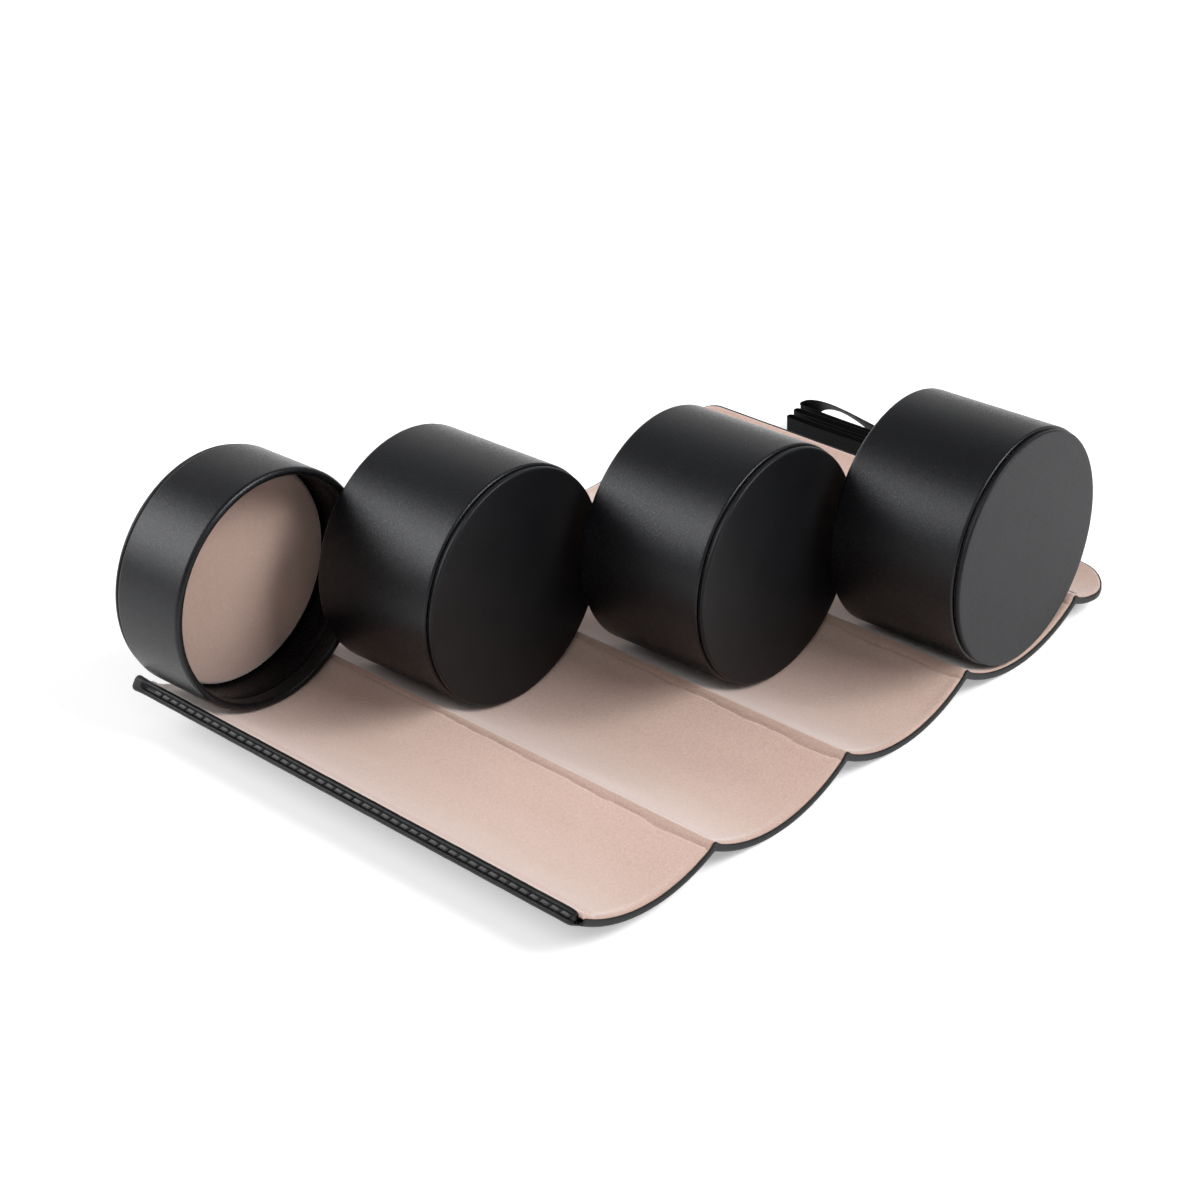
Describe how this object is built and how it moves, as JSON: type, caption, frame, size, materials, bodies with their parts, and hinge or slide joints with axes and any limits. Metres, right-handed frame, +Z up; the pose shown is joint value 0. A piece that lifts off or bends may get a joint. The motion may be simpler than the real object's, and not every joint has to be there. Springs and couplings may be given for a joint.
{
  "type": "jewelry roll",
  "caption": "Jewelry roll laid open: curved folding mat with closing flap and tie ribbon, a shallow lid and round cups fixed across it, staggered so that they line up when it is rolled shut.",
  "frame": {"origin": "bottom centre of the bounding box, on the surface that the open roll lies on", "axes": "+X along the mat from the lid's free end to the flap and ribbon, +Y along the cup axes and the folds, towards the lid, +Z up"},
  "size_m": [0.3554, 0.2144, 0.0981],
  "materials": {
    "leather": "smooth black leather, fine grain, satin",
    "sleeve": "black inner leather, satin",
    "lining": "blush velvet",
    "pad": "blush velvet over a padded disc",
    "card": "grey board, hidden",
    "ribbon": "black satin ribbon"
  },
  "bodies": {
    "panel_3": {"cup_3_base_pad": "pad", "cup_3_end_disc": "leather", "cup_3_sleeve": "sleeve", "cup_3_tube": "card", "cup_3_wrap": "leather", "panel_3_board": "card", "panel_3_cover": "leather", "panel_3_lining": "lining"},
    "panel_2": {"cup_2_base_pad": "pad", "cup_2_end_disc": "leather", "cup_2_sleeve": "sleeve", "cup_2_tube": "card", "cup_2_wrap": "leather", "panel_2_board": "card", "panel_2_cover": "leather", "panel_2_lining": "lining"},
    "panel_1": {"end_binding": "leather", "lid_base_pad": "pad", "lid_end_disc": "leather", "lid_sleeve": "sleeve", "lid_tube": "card", "lid_wrap": "leather", "panel_1_board": "card", "panel_1_cover": "leather", "panel_1_lining": "lining"},
    "panel_4": {"cup_4_base_pad": "pad", "cup_4_end_disc": "leather", "cup_4_sleeve": "sleeve", "cup_4_tube": "card", "cup_4_wrap": "leather", "panel_4_board": "card", "panel_4_cover": "leather", "panel_4_lining": "lining"},
    "flap": {"flap_board": "card", "flap_cover": "leather", "flap_lining": "lining", "ribbon_anchor": "leather", "tie_ribbon": "ribbon"}
  },
  "joints": [
    {"name": "fold_2", "type": "hinge", "parent": "panel_3", "child": "panel_2", "pos_m": [-0.03608, 0, 0.0138], "axis": [0, 1, 0], "range_deg": [0, 88]},
    {"name": "fold_1", "type": "hinge", "parent": "panel_2", "child": "panel_1", "pos_m": [-0.10518, 0, 0.0138], "axis": [0, 1, 0], "range_deg": [0, 77]},
    {"name": "fold_3", "type": "hinge", "parent": "panel_3", "child": "panel_4", "pos_m": [0.03302, 0, 0.0138], "axis": [0, -1, 0], "range_deg": [0, 86]},
    {"name": "fold_4", "type": "hinge", "parent": "panel_4", "child": "flap", "pos_m": [0.10212, 0, 0.0138], "axis": [0, -1, 0], "range_deg": [0, 40]}
  ],
  "couplings": [
    {"joint": "fold_1", "follows": "fold_2", "ratio": 0.875}
  ]
}
